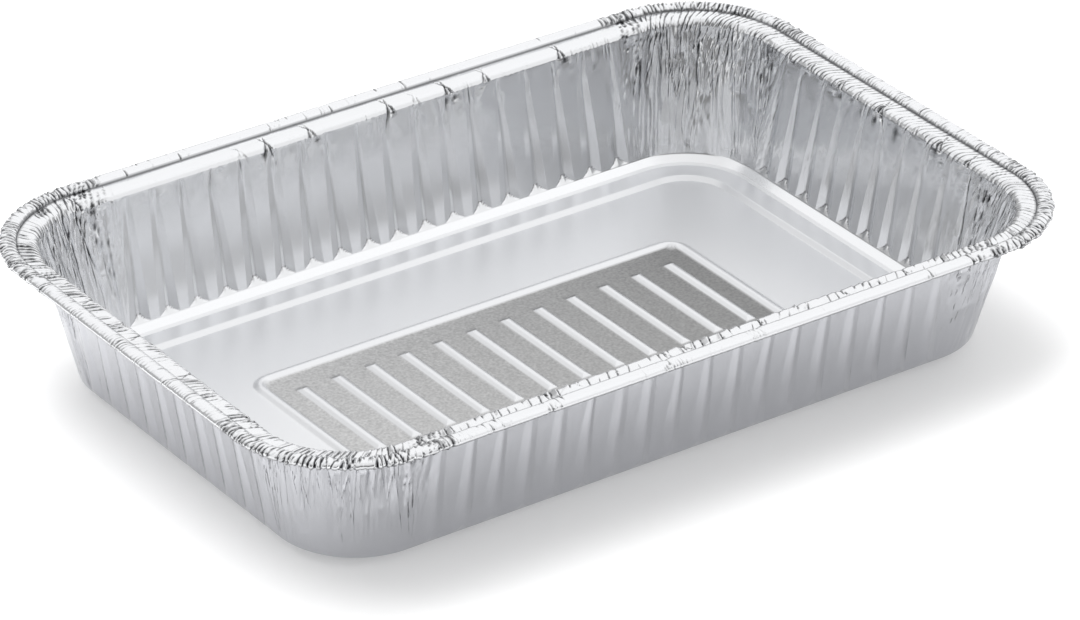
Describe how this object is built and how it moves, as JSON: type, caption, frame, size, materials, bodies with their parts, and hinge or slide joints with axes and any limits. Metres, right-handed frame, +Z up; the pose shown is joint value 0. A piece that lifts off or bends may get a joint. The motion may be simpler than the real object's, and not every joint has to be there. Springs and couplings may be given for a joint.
{
  "type": "foil drip tray",
  "caption": "Shallow rectangular drip tray pressed from one sheet of aluminium foil, with a rolled rim, fluted walls, gathered corners and a stepped, ribbed base.",
  "frame": {"origin": "middle of the underside of the base panel, on which the tray rests", "axes": "+X along the tray's length, +Y across it, +Z up"},
  "size_m": [0.218, 0.149, 0.0364],
  "materials": {
    "foil": "bright rolled foil, satin, with fine gathers at rim and corners"
  },
  "bodies": {
    "root": {"foil_tray": "foil"}
  },
  "joints": []
}
